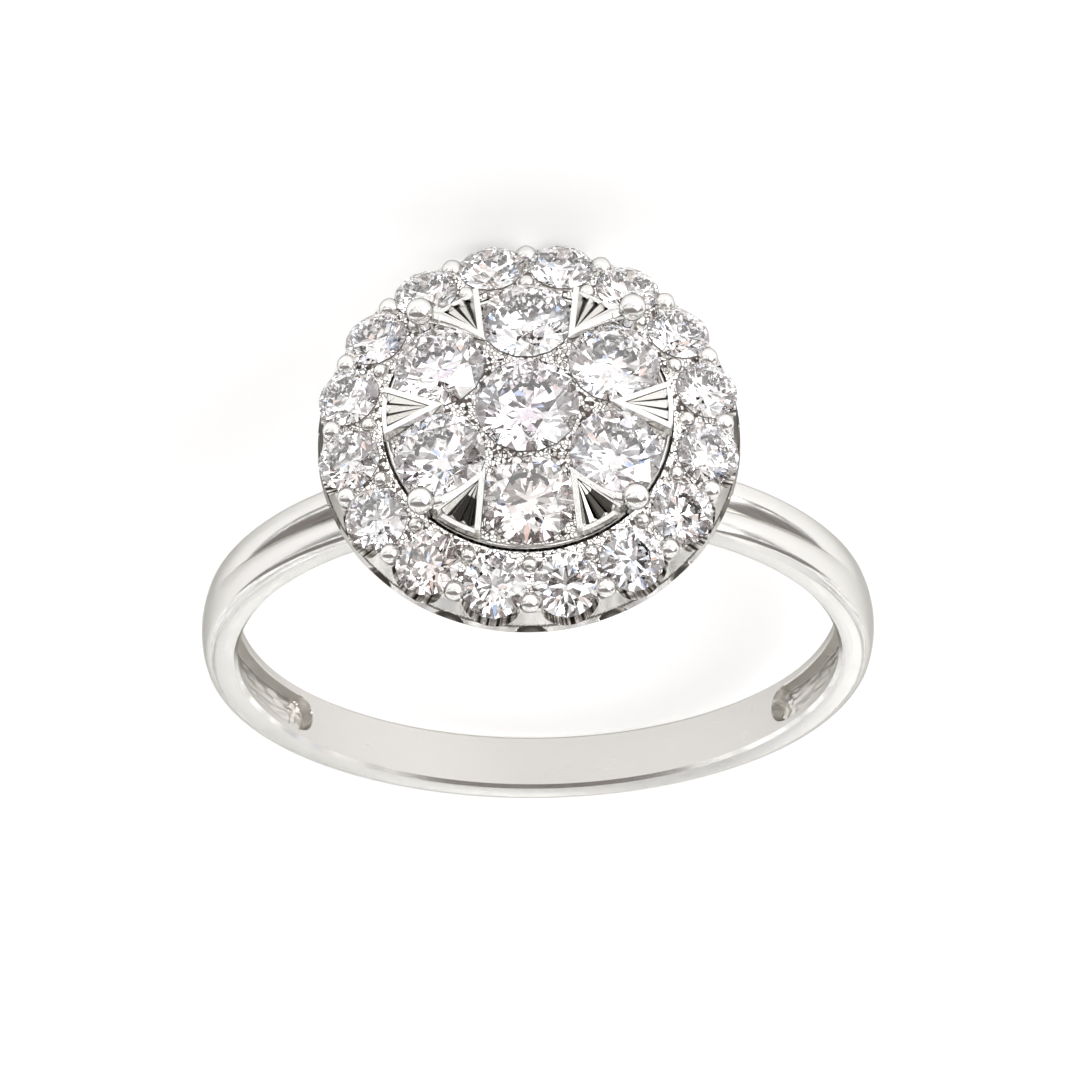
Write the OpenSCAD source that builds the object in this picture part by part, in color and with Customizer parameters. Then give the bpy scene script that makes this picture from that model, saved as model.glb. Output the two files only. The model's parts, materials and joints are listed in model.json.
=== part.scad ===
// Halo engagement ring in white gold, lying on its side.
// A round cluster of seven brilliants stands above a halo of sixteen smaller ones.
// Six fluted fans fill the gaps of the cluster, and a rounded band carries the pierced head.
//
// Each module below first draws the ring standing up. There the finger hole runs along Y,
// its centre is at zero and the head points to +Z. lay() then puts it down on its side.

/* [Band] */
// diameter of the finger hole
finger_d = 17.3; // [14.0:0.1:22.0]
// width of the band along the finger, halfway up
band_w = 1.8; // [1.6:0.1:3.0]
// lean of each side of the band, which narrows it towards the bottom
taper = 0.4; // [0:0.1:1]
// thickness of the metal at the two sides of the band
band_t = 1.03; // [0.9:0.01:1.6]
// how much thicker the band is at the bottom than at the sides
bottom_extra = 0.08; // [0:0.01:0.3]
// radius of the two rounded outer edges
edge_r = 0.42; // [0.2:0.01:0.6]
// bevel round the two inner edges of the finger hole
inner_bevel = 0.12; // [0.05:0.01:0.2]
// depth of the groove on each shoulder where the band goes under the head
groove_depth = 0.26; // [0.1:0.01:0.3]
// width of the hollow cast into the inside of each shoulder
hollow_w = 1.1; // [0.6:0.1:1.3]
// depth of that hollow
hollow_depth = 0.34; // [0.1:0.01:0.4]

/* [Stones] */
// diameter of the centre stone
centre_d = 2.9; // [2.6:0.05:3.0]
// diameter of each of the six stones round it
cluster_d = 2.55; // [2.2:0.05:2.6]
// diameter of each halo stone
halo_d = 1.8; // [1.4:0.05:1.85]
// outward lean of the six stones, degrees
cluster_lean = 10; // [0:1:12]
// outward lean of the halo stones, degrees
halo_lean = 20; // [10:1:22]
// clear gap left between a stone and the metal
seat_gap = 0.03; // [0.02:0.01:0.05]

/* [Head] */
// height of the halo girdles above the finger centre
halo_z = 12.78; // [12.6:0.01:13.0]
// radius of the circle through the halo stones
halo_r = 5.03; // [4.95:0.01:5.1]
// outer radius of the halo wall at its lower rim
wall_r = 5.85; // [5.6:0.01:6.2]
// height of the cluster girdles above the halo girdles
cluster_rise = 0.92; // [0.9:0.01:1.1]
// height of the centre girdle above the cluster girdles
centre_rise = 0.27; // [0.25:0.01:0.4]
// radius of the circle through the six cluster stones
cluster_r = 2.77; // [2.75:0.01:2.85]
// radius of each of the four round beads that end the fan arms
big_bead_r = 0.38; // [0.3:0.01:0.4]
// radius of the small beads between the halo stones
small_bead_r = 0.28; // [0.2:0.01:0.3]

/* [Hidden] */
finger_r = finger_d / 2;
half_w = band_w / 2;
halo_count = 16;
halo_step = 360 / halo_count;
cluster_count = 6;
cluster_step = 360 / cluster_count;

// the outer circle of the band sits lower than the hole, which thickens the bottom
band_r = finger_r + band_t;
band_drop = bottom_extra;
crown_r = 2.2;                          // radius of the gentle dome across the band
groove_fade = 20;                       // the groove starts this far above the side, degrees
groove_full = 50;                       // and has its named depth here
groove_end_x = 4.3;                     // it stops where the basket stands on the band
groove_rise = groove_depth / (sin(groove_full) - sin(groove_fade));
groove_drop = bottom_extra + groove_rise;
groove_r = band_r + groove_rise * sin(groove_fade);
groove_half = 49;                       // half angle of its V
hollow_end = 35;                        // the hollow ends this far below the side, degrees
hollow_top = 18;                        // and this far above it

// parts of a brilliant, as shares of its diameter
table_share = 0.56;
crown_share = 0.15;
girdle_share = 0.03;
pavilion_share = 0.43;
star_share = 0.5;                       // how far the star facets reach towards the girdle
lower_half_share = 0.77;                // how far the lower halves reach towards the culet

// heights of the head
cluster_z = halo_z + cluster_rise;
centre_z = cluster_z + centre_rise;
wall_bottom = halo_z - 1.05;
wall_top = wall_bottom + 0.83;
wall_lean = 0.2;                        // the wall is this much narrower at its top
wall_t = 0.35;
plate_bottom = wall_bottom + 0.1;       // seat plate behind the wall
plate_drop = 0.15;                      // its top lies this far under the girdles
web_t = 0.2;                            // thin web between the plate and the cup
web_w = 0.2;
window_r = 0.85;                        // U windows under the halo stones
window_z = wall_bottom + 0.15 + window_r;
arch_r = 0.52;                          // blind arches between the windows
arch_z = wall_bottom - 0.21;
arch_depth = 0.14;
outer_bead_r = wall_r - 0.45;           // circle of the outer beads
inner_bead_r = 4.37;                    // circle of the inner beads
inner_bead_size = 0.22;
outer_bead_z = wall_top + 0.1;
inner_bead_z = halo_z + 0.17;
small_post_r = 0.2;                     // posts under the small beads

cup_r = 3.95;
cup_wall = 0.13;
cup_floor = plate_bottom - 0.05;
cup_deck = cluster_z - 0.88;
cup_rim = cluster_z - 0.6;
collet_r = 0.85;                        // small tube that carries the centre stone
collet_top = centre_z - 0.75;

fan_r = 4.0;                            // outer end of a fan
fan_tip = 2.4;                          // inner tip of the post under it
fan_half = 21.5;                        // half angle of that post
blade_tip = 2.3;                        // the polished top is a little wider
blade_half = 26;
blade_bottom = cluster_z + 0.04;
blade_high = centre_z + 0.19;           // height of the top at the tip
blade_slope = 10;
flute_turn = 14;                        // angle between two flutes
flute_sink = 9;                         // flutes deepen outwards by this slope
flute_half = 44;                        // half angle of a flute's V
bead_turn = 45;                         // direction of the four big beads
big_bead_circle = 4.15;
big_bead_z = centre_z + 0.11;
arm_r = 0.17;
arm_root_r = 3.25;                      // an arm starts on the border of its fan
arm_root_turn = 7;
arm_root_z = blade_high - 0.25;
claw_r = 0.24;                          // claw that leans out of the cup under a big bead
claw_root_r = 3.68;
sunk = 0.1;                             // how far a post or wall is sunk into its base

basket_low_r = 2.55;
basket_high_r = 4.35;
basket_bottom = finger_r + 0.2;
basket_t = 0.5;
basket_foot = 0.5;                      // height of the upright foot of the basket
basket_windows = 8;
basket_window_r = 0.95;

// The ring rests on the lower rim of the halo wall, beside the back arch, and on the round
// back edge at the bottom of the band. The middle of that edge is at low_y and low_z.
low_reach = band_r + band_drop - edge_r;
low_y = (half_w - edge_r) * cos(taper) - low_reach * sin(taper);
low_z = -low_reach * cos(taper) - (half_w - edge_r) * sin(taper);
arch_half = sqrt(arch_r * arch_r - (wall_bottom - arch_z) * (wall_bottom - arch_z));
rest_y = sqrt(wall_r * wall_r - arch_half * arch_half) - low_y;
rest_z = wall_bottom - low_z;
lie = acos(edge_r / norm([rest_y, rest_z])) - atan2(rest_z, rest_y);
rest_height = low_y * cos(lie) - low_z * sin(lie) + edge_r;
// ends of the lying ring, from the finger centre along the floor
head_end = big_bead_circle * sin(bead_turn) * sin(lie) + big_bead_z * cos(lie) + big_bead_r;
band_end = (band_r + band_drop - crown_r) * cos(lie + taper) + crown_r;
middle = (head_end - band_end) / 2;

white_gold = [0.87, 0.86, 0.83];
clear_stone = [0.93, 0.94, 0.96];
$fn = 48;

// puts the upright ring down on its side, head towards -Y
module lay() {
    translate([0, middle, rest_height]) rotate([90 + lie, 180, 0]) children();
}

// copies of a thing round the head's upright axis
module around(count, start = 0) {
    for (i = [0 : count - 1]) rotate([0, 0, start + i * 360 / count]) children();
}

// turns a profile with x as radius and y as width into a hoop round the finger axis
module hoop(angle = 360) {
    rotate([-90, 0, 0]) rotate_extrude(angle = angle, $fn = 120) children();
}

// a straight round bar between two points
module bar(a, b, r) {
    d = b - a;
    translate(a) rotate([0, acos(d.z / norm(d)), atan2(d.y, d.x)]) cylinder(h = norm(d), r = r);
}

// cross section of the band before the finger hole is cut: rounded edges, a domed outside
// and two bevels towards the hole
module band_section() {
    under = 0.3;
    difference() {
        intersection() {
            union() {
                translate([finger_r - under, -half_w])
                    square([band_r - edge_r - finger_r + under, band_w]);
                translate([finger_r, -half_w + edge_r])
                    square([band_r - finger_r, band_w - 2 * edge_r]);
                for (s = [-1, 1])
                    translate([band_r - edge_r, s * (half_w - edge_r)]) circle(r = edge_r);
            }
            union() {
                translate([band_r - crown_r, 0]) circle(r = crown_r, $fn = 96);
                translate([0, -band_w]) square([band_r - edge_r, 2 * band_w]);
            }
        }
        for (s = [-1, 1]) translate([finger_r + inner_bevel, s * half_w])
            polygon([[-1, -s], [1, s], [-1, s]]);
    }
}

module finger_hole() {
    rotate([90, 0, 0]) cylinder(h = 4 * band_w, r = finger_r, center = true, $fn = 180);
}

// one hollow inside a shoulder, with round ends
module shoulder_hollow() {
    start = finger_r - 0.5;
    depth = 0.5 + hollow_depth;
    rotate([0, -hollow_top, 0]) hoop(hollow_end + hollow_top)
        translate([start, -hollow_w / 2]) square([depth, hollow_w]);
    for (a = [90 + hollow_end, 90 - hollow_top])
        rotate([0, a, 0]) translate([0, 0, start]) cylinder(h = depth, r = hollow_w / 2);
}

// the groove is a circle set lower than the band, so it deepens towards the head
module groove() {
    difference() {
        translate([0, 0, -groove_drop]) hoop()
            polygon([[groove_r, 0], [groove_r + 1, -tan(groove_half)],
                [groove_r + 1, tan(groove_half)]]);
        cube([2 * groove_end_x, 6, 40], center = true);
    }
}

// two half hoops, each leaned a little outwards at the head
module band_blank() {
    space = 2 * finger_r;
    for (s = [0, 1]) mirror([0, s, 0]) intersection() {
        rotate([taper, 0, 0]) translate([0, 0, -band_drop]) hoop() band_section();
        translate([-space, -2 * space, -space]) cube(2 * space);
    }
}

module band() {
    difference() {
        band_blank();
        groove();
        for (s = [0, 1]) mirror([s, 0, 0]) shoulder_hollow();
    }
}

// space that a set brilliant needs, a little larger than the stone; zero is its girdle
module stone_space(d, through) {
    r = d / 2 + seat_gap;
    half_girdle = d * girdle_share / 2 + seat_gap;
    deep = d * pavilion_share + seat_gap;
    high = d * crown_share + half_girdle;
    drill = 3;
    overlap = 0.001;
    translate([0, 0, -deep])
        cylinder(h = deep - half_girdle + overlap, r1 = seat_gap, r2 = r);
    translate([0, 0, -half_girdle]) cylinder(h = 2 * half_girdle, r = r);
    translate([0, 0, half_girdle - overlap])
        cylinder(h = high - half_girdle, r1 = r, r2 = r * table_share);
    translate([0, 0, -deep - drill]) cylinder(h = drill + deep / 3, r = through);
}

// moves a leaning stone or its space from zero to its place in the halo or in the cluster
module in_halo() {
    translate([halo_r, 0, halo_z]) rotate([0, halo_lean, 0]) children();
}

module in_cluster() {
    translate([cluster_r, 0, cluster_z]) rotate([0, cluster_lean, 0]) children();
}

module halo_spaces() {
    around(halo_count, halo_step / 2) in_halo() stone_space(halo_d, 0.3);
}

module cluster_spaces() {
    around(cluster_count, cluster_step / 2) in_cluster() stone_space(cluster_d, 0.35);
    translate([0, 0, centre_z]) stone_space(centre_d, 0.4);
}

// wall and seat plate of the halo with U windows under the stones and blind arches between
module halo_wall() {
    back = wall_r - wall_t;
    trench = cup_r + web_w;
    inside = cup_r - 0.2;
    trench_top = halo_z + (halo_r - trench) * tan(halo_lean) - plate_drop;
    difference() {
        rotate_extrude($fn = 96) polygon([
            [inside, plate_bottom], [back, plate_bottom], [back, wall_bottom],
            [wall_r, wall_bottom], [wall_r - wall_lean, wall_top],
            [back - wall_lean, wall_top], [trench, trench_top], [trench, plate_bottom + web_t],
            [inside, plate_bottom + web_t]]);
        around(halo_count, halo_step / 2) translate([back - wall_lean, 0, window_z]) {
            rotate([0, 90, 0]) cylinder(h = 1, r = window_r);
            translate([0, -window_r, 0]) cube([1, 2 * window_r, 1]);
        }
        around(halo_count) translate([wall_r - arch_depth, 0, arch_z])
            rotate([0, 90, 0]) cylinder(h = 1, r = arch_r);
        halo_spaces();
        around(halo_count, halo_step / 2) in_halo()
            cylinder(h = 1, r = halo_d / 2 + seat_gap);
    }
}

// a bead on its post, standing on the seat plate
module bead(circle_r, z, size, post) {
    translate([circle_r, 0, z]) sphere(r = size);
    translate([circle_r, 0, plate_bottom + sunk])
        cylinder(h = z - plate_bottom - sunk, r = post);
}

// beads shared by neighbouring halo stones, outside and inside
module halo_beads() {
    difference() {
        around(halo_count) {
            bead(outer_bead_r, outer_bead_z, small_bead_r, small_post_r);
            bead(inner_bead_r, inner_bead_z, inner_bead_size, small_post_r - 0.02);
        }
        halo_spaces();
    }
}

// raised cup of the cluster with a thin rim, and the collet of the centre stone
module cup() {
    difference() {
        union() {
            rotate_extrude($fn = 96) polygon([
                [0, cup_floor], [cup_r, cup_floor], [cup_r, cup_rim],
                [cup_r - cup_wall, cup_rim], [cup_r - cup_wall, cup_deck], [0, cup_deck]]);
            translate([0, 0, cup_floor])
                cylinder(h = collet_top - cup_floor, r = collet_r);
        }
        cluster_spaces();
    }
}

// a wedge that opens outwards along +X
module wedge(tip, half, low, high) {
    reach = 3;
    translate([0, 0, low]) linear_extrude(high - low)
        polygon([[tip, 0], [tip + reach, -reach * tan(half)], [tip + reach, reach * tan(half)]]);
}

// one fluted fan: a plain post with a wider polished top, cut with three flutes
module fan() {
    lip = 0.2;
    flute = [[0, 0], [-tan(flute_half), 1], [tan(flute_half), 1]];
    difference() {
        union() {
            wedge(fan_tip, fan_half, cup_deck - sunk, blade_bottom + sunk);
            difference() {
                wedge(blade_tip, blade_half, blade_bottom, blade_high + 0.2);
                translate([blade_tip, 0, blade_high]) rotate([0, blade_slope, 0])
                    translate([-1, -3, 0]) cube([5, 6, 2]);
                translate([blade_tip + lip, 0, blade_high - lip * tan(blade_slope)])
                    rotate([0, blade_slope, 0])
                        for (a = [-flute_turn, 0, flute_turn])
                            rotate([0, 0, a]) rotate([0, flute_sink, 0])
                                rotate([90, 0, 90]) linear_extrude(3) polygon(flute);
            }
        }
        // everything beyond the round outer end
        difference() {
            translate([0, 0, cup_deck - 1]) cylinder(h = 4, r = 2 * fan_r);
            translate([0, 0, cup_deck - 2]) cylinder(h = 6, r = fan_r, $fn = 96);
        }
    }
}

// a point at radius r, direction a and height z
function polar(r, a, z) = [r * cos(a), r * sin(a), z];

// big bead on its claw, and the arm that joins it to the border of the fan
module bead_and_arm() {
    bead = polar(big_bead_circle, bead_turn, big_bead_z);
    bar(polar(arm_root_r, cluster_step - arm_root_turn, arm_root_z), bead, arm_r);
    bar(polar(claw_root_r, bead_turn, cup_deck - sunk), bead, claw_r);
    translate(bead) sphere(r = big_bead_r);
}

module cluster_claws() {
    difference() {
        union() {
            around(cluster_count) fan();
            for (sx = [0, 1], sy = [0, 1]) mirror([sx, 0, 0]) mirror([0, sy, 0]) bead_and_arm();
        }
        cluster_spaces();
    }
}

// pierced basket between the band and the halo
module basket() {
    low_in = basket_low_r - basket_t / 2;
    low_out = basket_low_r + basket_t / 2;
    shoulder = basket_bottom + basket_foot;
    window_middle = (shoulder + plate_bottom) / 2 + 0.15;
    difference() {
        rotate_extrude($fn = 96) polygon([
            [low_in, basket_bottom], [low_out, basket_bottom], [low_out, shoulder],
            [basket_high_r + basket_t / 2, plate_bottom + sunk],
            [basket_high_r - basket_t, plate_bottom + sunk], [low_in, shoulder + 0.2]]);
        around(basket_windows, 180 / basket_windows) translate([0, 0, window_middle])
            rotate([0, 90, 0]) cylinder(h = basket_high_r + 2, r = basket_window_r);
    }
}

// round brilliant with table, stars, bezels, upper halves, girdle, lower halves and mains
module brilliant(d) {
    r = d / 2;
    step = 22.5;
    crown = d * crown_share;
    half_girdle = d * girdle_share / 2;
    pavilion = d * pavilion_share;
    table = r * table_share;
    star = table * cos(step) + star_share * (r - table * cos(step));
    star_h = half_girdle + crown * (r - star * cos(step)) / (r - table);
    low = r * (1 - lower_half_share);
    low_h = -half_girdle - (pavilion - half_girdle) * (1 - low * cos(step) / r);
    ring8 = [0 : 7];
    points = concat(
        [for (k = ring8) [table * cos(45 * k), table * sin(45 * k), half_girdle + crown]],
        [for (k = ring8) [star * cos(45 * k + step), star * sin(45 * k + step), star_h]],
        [for (j = [0 : 15]) [r * cos(step * j), r * sin(step * j), half_girdle]],
        [for (j = [0 : 15]) [r * cos(step * j), r * sin(step * j), -half_girdle]],
        [for (k = ring8) [low * cos(45 * k + step), low * sin(45 * k + step), low_h]],
        [[0, 0, -pavilion]]);
    faces = concat(
        [[for (k = ring8) 7 - k]],
        [for (k = ring8) [k, (k + 1) % 8, 8 + k]],
        [for (k = ring8) [k, 8 + k, 16 + 2 * k]],
        [for (k = ring8) [k, 16 + 2 * k, 8 + (k + 7) % 8]],
        [for (k = ring8) [8 + k, 17 + 2 * k, 16 + 2 * k]],
        [for (k = ring8) [8 + k, 16 + (2 * k + 2) % 16, 17 + 2 * k]],
        [for (j = [0 : 15]) [16 + j, 16 + (j + 1) % 16, 32 + (j + 1) % 16, 32 + j]],
        [for (k = ring8) [48 + k, 32 + 2 * k, 33 + 2 * k]],
        [for (k = ring8) [48 + k, 33 + 2 * k, 32 + (2 * k + 2) % 16]],
        [for (k = ring8) [56, 48 + (k + 7) % 8, 32 + 2 * k]],
        [for (k = ring8) [56, 32 + 2 * k, 48 + k]]);
    polyhedron(points, faces);
}

module ring_mount() {
    color(white_gold) lay() difference() {
        union() {
            band();
            basket();
            halo_wall();
            halo_beads();
            cup();
            cluster_claws();
        }
        finger_hole();
    }
}

module centre_stone() {
    color(clear_stone) lay() translate([0, 0, centre_z]) brilliant(centre_d);
}

// counted anticlockwise from the front, seen from above the head
module cluster_stone(i) {
    color(clear_stone) lay() rotate([0, 0, cluster_step * (i - 1) - 90])
        in_cluster() brilliant(cluster_d);
}

module halo_stone(i) {
    color(clear_stone) lay() rotate([0, 0, halo_step * (i - 0.5) - 90])
        in_halo() brilliant(halo_d);
}

ring_mount();
centre_stone();
cluster_stone(1);  // cluster_stone_1
cluster_stone(2);  // cluster_stone_2
cluster_stone(3);  // cluster_stone_3
cluster_stone(4);  // cluster_stone_4
cluster_stone(5);  // cluster_stone_5
cluster_stone(6);  // cluster_stone_6
halo_stone(1);  // halo_stone_1
halo_stone(2);  // halo_stone_2
halo_stone(3);  // halo_stone_3
halo_stone(4);  // halo_stone_4
halo_stone(5);  // halo_stone_5
halo_stone(6);  // halo_stone_6
halo_stone(7);  // halo_stone_7
halo_stone(8);  // halo_stone_8
halo_stone(9);  // halo_stone_9
halo_stone(10);  // halo_stone_10
halo_stone(11);  // halo_stone_11
halo_stone(12);  // halo_stone_12
halo_stone(13);  // halo_stone_13
halo_stone(14);  // halo_stone_14
halo_stone(15);  // halo_stone_15
halo_stone(16);  // halo_stone_16
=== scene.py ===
import json
import math
import random
import bpy
import bmesh
from mathutils import Matrix, Vector, noise


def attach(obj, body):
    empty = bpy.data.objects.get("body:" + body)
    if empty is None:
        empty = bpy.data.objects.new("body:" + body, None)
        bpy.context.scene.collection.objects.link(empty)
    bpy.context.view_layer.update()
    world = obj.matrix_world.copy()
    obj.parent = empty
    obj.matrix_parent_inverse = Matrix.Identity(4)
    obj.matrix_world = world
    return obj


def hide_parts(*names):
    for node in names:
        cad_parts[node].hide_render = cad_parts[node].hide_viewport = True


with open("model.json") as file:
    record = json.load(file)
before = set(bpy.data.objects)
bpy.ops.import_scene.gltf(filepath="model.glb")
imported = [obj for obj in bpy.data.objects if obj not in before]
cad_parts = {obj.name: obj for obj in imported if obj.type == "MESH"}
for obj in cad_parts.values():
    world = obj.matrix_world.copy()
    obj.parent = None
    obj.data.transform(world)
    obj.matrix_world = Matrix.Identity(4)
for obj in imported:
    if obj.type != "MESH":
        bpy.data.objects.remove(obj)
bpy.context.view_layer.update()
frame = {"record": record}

# Band. A rounded hoop of polished white gold, cast in one with the head and a little slimmer
# at its bottom. The inside is satin with two narrow bevels, and a groove opens on each
# shoulder. Inside each shoulder a round-ended hollow keeps its rough cast floor.
MM = 0.001
hole = next(m for m in frame["record"]["mounts"] if m["name"] == "finger_hole")
finger_r = hole["dims"]["r_mm"]
lie = math.atan2(hole["axis"][1], hole["axis"][2])
# pieces are made standing up in millimetres, finger hole along Y and head towards +Z
lay = (Matrix.Translation(Vector(hole["pos_m"]))
       @ Matrix.Rotation(math.pi, 4, "Y") @ Matrix.Rotation(math.pi / 2 + lie, 4, "X")
       @ Matrix.Scale(MM, 4))

half_w = 0.9
band_t = 1.03
band_r = finger_r + band_t
taper = math.radians(0.4)
bottom_extra = 0.08
bevel = 0.1
crown_r = 2.2
corner_r = 0.3
corner_y = half_w - corner_r
corner_x = band_r - crown_r + math.sqrt((crown_r - corner_r) ** 2 - corner_y ** 2)
corner_turn = math.degrees(math.asin(corner_y / (crown_r - corner_r)))
groove_w = 0.5
groove_fade = math.sin(math.radians(20))
groove_rise = 0.62
hollow_half = 0.55
hollow_depth = 0.34
hollow_rim = 0.035
hollow_low = -35.0
hollow_high = 18.0
pebble_size = 7.0
pebble_share = 0.16
weld = 0.0001


class Shade:
    """A shader socket. Sums written with it add their Math nodes."""

    def __init__(self, tree, socket):
        self.tree = tree
        self.socket = socket

    def sum(self, operation, first, second):
        node = self.tree.nodes.new("ShaderNodeMath")
        node.operation = operation
        for place, term in zip(node.inputs, (first, second)):
            if isinstance(term, Shade):
                self.tree.links.new(term.socket, place)
            else:
                place.default_value = term
        return Shade(self.tree, node.outputs[0])

    def __add__(self, other):
        return self.sum("ADD", self, other)

    def __radd__(self, other):
        return self.sum("ADD", other, self)

    def __sub__(self, other):
        return self.sum("SUBTRACT", self, other)

    def __rsub__(self, other):
        return self.sum("SUBTRACT", other, self)

    def __mul__(self, other):
        return self.sum("MULTIPLY", self, other)

    def __rmul__(self, other):
        return self.sum("MULTIPLY", other, self)


class Finish:
    """The nodes of a material or of the studio, each added by one method."""

    def __init__(self, holder):
        holder.use_nodes = True
        self.holder = holder
        self.tree = holder.node_tree

    def add(self, kind, settings=None, values=None, out=0):
        node = self.tree.nodes.new(kind)
        for name, setting in (settings or {}).items():
            ramp = getattr(node, "color_ramp", None)
            if name == "bands":
                ramp.interpolation = setting
            elif name == "stops":
                while len(ramp.elements) < len(setting):
                    ramp.elements.new(0.5)
                for stop, (place, colour) in zip(ramp.elements, setting):
                    stop.position = place
                    stop.color = colour
            else:
                setattr(node, name, setting)
        self.feed(node, values or {})
        return Shade(self.tree, node.outputs[out])

    def feed(self, node, values):
        for name, value in values.items():
            if isinstance(value, Shade):
                self.tree.links.new(value.socket, node.inputs[name])
            else:
                node.inputs[name].default_value = value

    def surface(self, values):
        self.feed(self.tree.nodes["Principled BSDF"], values)


def metal(name, colour, roughness, wear, wear_size=900.0, grain=(3000, 3000, 60000), edge=0.12):
    """White gold, cloudy in its gloss, with fine lines drawn round it and dark grazing edges."""
    finish = Finish(bpy.data.materials.new(name))
    place = finish.add("ShaderNodeTexCoord", out="Object")
    cloud = finish.add("ShaderNodeTexNoise", values={"Vector": place, "Scale": wear_size, "Detail": 3.0})
    drawn = finish.add("ShaderNodeVectorMath", {"operation": "MULTIPLY"}, {0: place, 1: grain})
    lines = finish.add("ShaderNodeTexNoise", values={"Vector": drawn, "Scale": 1.0, "Detail": 2.0})
    finish.surface({
        "Base Color": colour, "Metallic": 1.0, "Specular Tint": (edge, edge, 0.95 * edge, 1),
        "Roughness": roughness + (cloud - 0.5) * wear + (lines - 0.5) * wear,
        "Normal": finish.add("ShaderNodeBump", values={
            "Height": lines, "Strength": 0.06, "Distance": 0.00001})})
    return finish


polish = metal("polished_gold", (0.93, 0.92, 0.895, 1), 0.19, 0.08)
hoop_polish = metal("polished_band_gold", (0.82, 0.81, 0.785, 1), 0.17, 0.06, edge=0.5)
satin = metal("satin_gold", (0.72, 0.705, 0.68, 1), 0.3, 0.1, 1200.0, (1500, 1500, 90000), 0.5)
cast = metal("cast_gold", (0.8, 0.78, 0.74, 1), 0.34, 0.2, 4000.0, (9000, 9000, 9000))


def arc(centre, radius, start, end, count):
    """Points of an arc in a profile, from one angle to another in degrees."""
    turns = [math.radians(start + (end - start) * i / count) for i in range(count + 1)]
    return [(centre[0] + radius * math.cos(a), centre[1] + radius * math.sin(a)) for a in turns]


def wire(bm, points, closed=True):
    """A profile drawn as edges."""
    corners = [bm.verts.new(p) for p in points]
    ends = corners[1:] + corners[:1] if closed else corners[1:]
    return corners + [bm.edges.new(pair) for pair in zip(corners, ends)]


def finish_piece(bm, name, finishes, crease=30.0):
    """Welds a piece, lays it down with the ring and gives it its finishes."""
    bmesh.ops.remove_doubles(bm, verts=bm.verts, dist=weld)
    bmesh.ops.recalc_face_normals(bm, faces=bm.faces)
    bmesh.ops.transform(bm, matrix=lay, verts=bm.verts)
    mesh = bpy.data.meshes.new(name)
    bm.to_mesh(mesh)
    bm.free()
    for finish in finishes:
        mesh.materials.append(finish.holder)
    mesh.shade_smooth()
    mesh.set_sharp_from_angle(angle=math.radians(crease))
    piece = bpy.data.objects.new(name, mesh)
    bpy.context.scene.collection.objects.link(piece)
    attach(piece, "root")
    return piece


def gold_piece(bm, name, finishes, crease=30.0):
    """A piece of the one casting."""
    piece = finish_piece(bm, name, finishes, crease)
    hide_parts("ring_mount")
    return piece


def ease(share):
    """A soft step from 0 to 1."""
    share = min(1.0, max(0.0, share))
    return share * share * (3 - 2 * share)


# rows across the inner face, close together over the hollows
fine_inside = [hollow_half * i / 13 for i in range(1, 13)]
inside = [(finger_r, y) for y in [0.0] + fine_inside + [0.53, 0.57, 0.61, 0.7, half_w - bevel]]
corner = arc((corner_x, corner_y), corner_r, 90, corner_turn, 8)
dome_ys = [0.5, 0.42, 0.34, 0.27, 0.2, 0.14, 0.09, 0.05, 0.02, 0.0]
dome = [(band_r - crown_r + math.sqrt(crown_r ** 2 - y ** 2), y) for y in dome_ys]
half = inside + [(finger_r + bevel, half_w)] + corner + dome
section = half + [(x, -y) for x, y in reversed(half[1:-1])]

band = bmesh.new()
hoop = wire(band, [(0.0, y, -x) for x, y in section])
# steps round the band in degrees, fine at the round ends of the hollows
coarse = 1.5
fine = 0.3
quarter = [(50.5, coarse), (5.5, fine), (51.5, coarse), (5.5, fine)]
for span, step in quarter + [(134.0, coarse)] + quarter[::-1]:
    hoop = bmesh.ops.spin(
        band, geom=hoop, cent=(0, 0, 0), axis=(0, 1, 0), angle=math.radians(span),
        steps=round(span / step), use_merge=False)["geom_last"]
bmesh.ops.remove_doubles(band, verts=band.verts, dist=weld)


def into_hollow(y, rise):
    """How far a spot on the inner face lies inside a hollow, in millimetres."""
    beyond = max(0.0, hollow_low - rise, rise - hollow_high)
    return hollow_half - math.hypot(y, finger_r * math.radians(beyond))


for v in band.verts:
    r = math.hypot(v.co.x, v.co.z)
    rise = math.degrees(math.asin(v.co.z / r))
    new_r = r
    if r < finger_r + weld:
        depth = hollow_depth * ease(0.5 + into_hollow(v.co.y, rise) / (2 * hollow_rim))
        new_r = r + depth * (1 + pebble_share * noise.noise(v.co * pebble_size))
    elif abs(v.co.y) < groove_w and r > band_r - band_t / 2:
        depth = groove_rise * max(0.0, v.co.z / r - groove_fade)
        new_r = r - depth * (1 - abs(v.co.y) / groove_w) ** 2
    v.co.x *= new_r / r
    v.co.z *= new_r / r
    v.co.y *= 1 + v.co.z * math.tan(taper) / half_w
    v.co.z -= bottom_extra * (r - finger_r) / band_t
band_finishes = [hoop_polish, satin, cast]
inner_reach = finger_r + hollow_depth + 0.1
satin_half = half_w - 1.3 * bevel
for face in band.faces:
    middle = face.calc_center_median()
    r = math.hypot(middle.x, middle.z)
    if r < inner_reach and abs(middle.y) < satin_half:
        rise = math.degrees(math.asin(middle.z / r))
        floor_finish = cast if into_hollow(middle.y, rise) > -hollow_rim else satin
        face.material_index = band_finishes.index(floor_finish)
gold_piece(band, "band", band_finishes, 28.0)

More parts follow.
